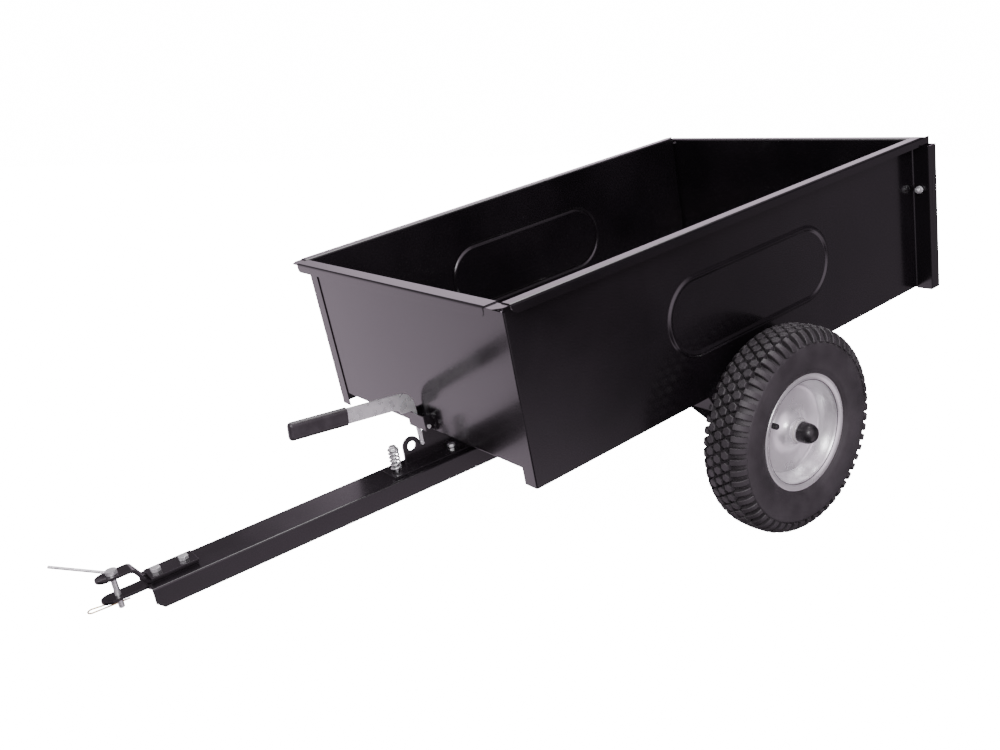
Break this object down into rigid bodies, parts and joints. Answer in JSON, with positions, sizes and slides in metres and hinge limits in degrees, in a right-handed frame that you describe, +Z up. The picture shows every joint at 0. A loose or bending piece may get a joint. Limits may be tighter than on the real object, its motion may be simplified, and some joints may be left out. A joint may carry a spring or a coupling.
{
  "type": "tow behind cart",
  "caption": "Two-wheeled steel dump cart for a garden tractor: rectangular tray with sliding tailgate, channel tongue with clevis hitch, and a sprung lever latch for tipping.",
  "frame": {"origin": "on the ground under the middle of the overall length, in the cart's middle plane", "axes": "+Y towards the tailgate and the rear, +X towards the cart's left side, +Z up; the tyres and the tongue's nose stand on Z = 0, so the tray leans forward"},
  "size_m": [0.9822, 1.7957, 0.7464],
  "materials": {
    "gloss_black_sheet": "high gloss black powder coat",
    "gloss_black_frame": "gloss black powder coat",
    "zinc_fasteners": "bright zinc plate",
    "yellow_zinc": "yellow zinc wire",
    "bare_axle": "cold drawn bar",
    "tyre_rubber": "matte moulded rubber",
    "valve_rubber": "matte rubber",
    "silver_rim": "silver wheel paint",
    "bush_plastic": "nylon",
    "cap_plastic": "satin black",
    "grip_vinyl": "dipped black vinyl"
  },
  "bodies": {
    "chassis": {"tongue": "gloss_black_frame", "axle_cheek_left": "gloss_black_frame", "axle_cheek_right": "gloss_black_frame", "cheek_bolts": "zinc_fasteners", "cheek_nuts": "zinc_fasteners", "axle": "bare_axle", "cotter_pin_left": "zinc_fasteners", "cotter_pin_right": "zinc_fasteners", "hub_cap_left": "cap_plastic", "hub_cap_right": "cap_plastic", "wheel_spacer_left": "bare_axle", "wheel_spacer_right": "bare_axle", "wheel_washer_left": "zinc_fasteners", "wheel_washer_right": "zinc_fasteners", "upper_hitch_strap": "gloss_black_frame", "lower_hitch_strap": "gloss_black_frame", "hitch_clamp_plate": "gloss_black_frame", "hitch_bolts": "zinc_fasteners", "hitch_nuts": "zinc_fasteners", "saddle_bolt": "zinc_fasteners", "spring_bolt": "zinc_fasteners", "spring_washer": "zinc_fasteners", "tongue_nuts": "zinc_fasteners", "latch_spring": "zinc_fasteners"},
    "bed": {"side_panel_left": "gloss_black_sheet", "side_panel_right": "gloss_black_sheet", "front_panel": "gloss_black_sheet", "floor_panel": "gloss_black_sheet", "axle_bracket_left": "gloss_black_frame", "axle_bracket_right": "gloss_black_frame", "bracket_bolts": "zinc_fasteners", "bracket_nuts": "zinc_fasteners", "gate_guide_left": "gloss_black_sheet", "gate_guide_right": "gloss_black_sheet", "guide_bolts": "zinc_fasteners", "guide_nuts": "zinc_fasteners", "latch_keeper": "gloss_black_frame", "keeper_rivets": "zinc_fasteners", "lever_pivot_pin": "zinc_fasteners", "pivot_sleeves": "zinc_fasteners"},
    "gate": {"tailgate": "gloss_black_sheet"},
    "lever": {"latch_lever": "zinc_fasteners", "lever_grip": "grip_vinyl", "finger_rivet": "zinc_fasteners"},
    "saddle": {"latch_saddle": "gloss_black_frame"},
    "pin": {"hitch_pin": "zinc_fasteners", "pin_handle": "zinc_fasteners"},
    "clip": {"hairpin_clip": "yellow_zinc"},
    "left_wheel": {"tyre_left": "tyre_rubber", "rim_left": "silver_rim", "valve_stem_left": "valve_rubber", "wheel_hub_left": "silver_rim", "inner_bush_left": "bush_plastic", "outer_bush_left": "bush_plastic"},
    "right_wheel": {"tyre_right": "tyre_rubber", "rim_right": "silver_rim", "valve_stem_right": "valve_rubber", "wheel_hub_right": "silver_rim", "inner_bush_right": "bush_plastic", "outer_bush_right": "bush_plastic"}
  },
  "joints": [
    {"name": "bed_tip", "type": "hinge", "parent": "chassis", "child": "bed", "pos_m": [0, 0.33722, 0.203], "axis": [-1, 0, 0], "range_deg": [0, 40]},
    {"name": "left_wheel_spin", "type": "hinge", "parent": "chassis", "child": "left_wheel", "pos_m": [0.428, 0.33722, 0.203], "axis": [1, 0, 0], "continuous": true},
    {"name": "right_wheel_spin", "type": "hinge", "parent": "chassis", "child": "right_wheel", "pos_m": [-0.428, 0.33722, 0.203], "axis": [1, 0, 0], "continuous": true},
    {"name": "tailgate_slide", "type": "slide", "parent": "bed", "child": "gate", "axis": [0, -0.2195, 0.9756], "range_m": [0, 0.3]},
    {"name": "lever_lift", "type": "hinge", "parent": "bed", "child": "lever", "pos_m": [0, -0.23302, 0.21821], "axis": [-1, 0, 0], "range_deg": [0, 8]},
    {"name": "saddle_rock", "type": "hinge", "parent": "chassis", "child": "saddle", "pos_m": [0, -0.12844, 0.1533], "axis": [-1, 0, 0], "range_deg": [0, 2], "stiffness_Nm_per_rad": 30, "springref_deg": -8.59, "deforming": ["latch_spring"]},
    {"name": "hitch_pin_lift", "type": "slide", "parent": "chassis", "child": "pin", "axis": [0, -0.1802, 0.9836], "range_m": [0, 0.007]},
    {"name": "clip_pull", "type": "slide", "parent": "pin", "child": "clip", "axis": [-0.0698, -0.9812, -0.1797], "range_m": [0, 0.03]}
  ]
}
